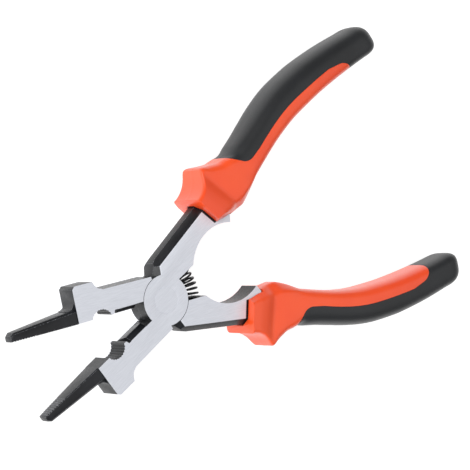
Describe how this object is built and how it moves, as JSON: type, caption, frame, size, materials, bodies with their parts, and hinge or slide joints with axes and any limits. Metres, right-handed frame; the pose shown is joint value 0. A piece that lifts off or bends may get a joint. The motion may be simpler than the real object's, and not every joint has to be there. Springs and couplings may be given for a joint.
{
  "type": "welding pliers",
  "caption": "Spring-loaded needle-nose welding pliers with a tip-grip notch, wire cutter and two-tone sleeves, held open.",
  "frame": {"origin": "centre of the pivot rivet, at the middle of the head's thickness", "axes": "+Z along the pivot axis; the long axis is X, with the jaws towards -X and the handles towards +X; the pliers lie flat"},
  "size_m": [0.1941, 0.1122, 0.0188],
  "materials": {
    "forged_steel": "ground bright on the two broad faces, black oxide on the forged sides, bevels and nose",
    "rivet_steel": "ground flush with the head",
    "spring_wire": "black oxide music wire",
    "orange_plastic": "satin moulded plastic",
    "black_elastomer": "matte soft-touch elastomer"
  },
  "bodies": {
    "front": {"front_half": "forged_steel", "rivet": "rivet_steel", "spring": "spring_wire", "front_sleeve": "orange_plastic", "front_overmould": "black_elastomer"},
    "rear": {"rear_half": "forged_steel", "rear_sleeve": "orange_plastic", "rear_overmould": "black_elastomer"}
  },
  "joints": [
    {"name": "pivot", "type": "hinge", "parent": "front", "child": "rear", "pos_m": [0, 0, 0], "axis": [0, 0, 1], "range_deg": [0, 26.6], "stiffness_Nm_per_rad": 0.17, "springref_deg": -8.59, "deforming": ["spring"]}
  ]
}
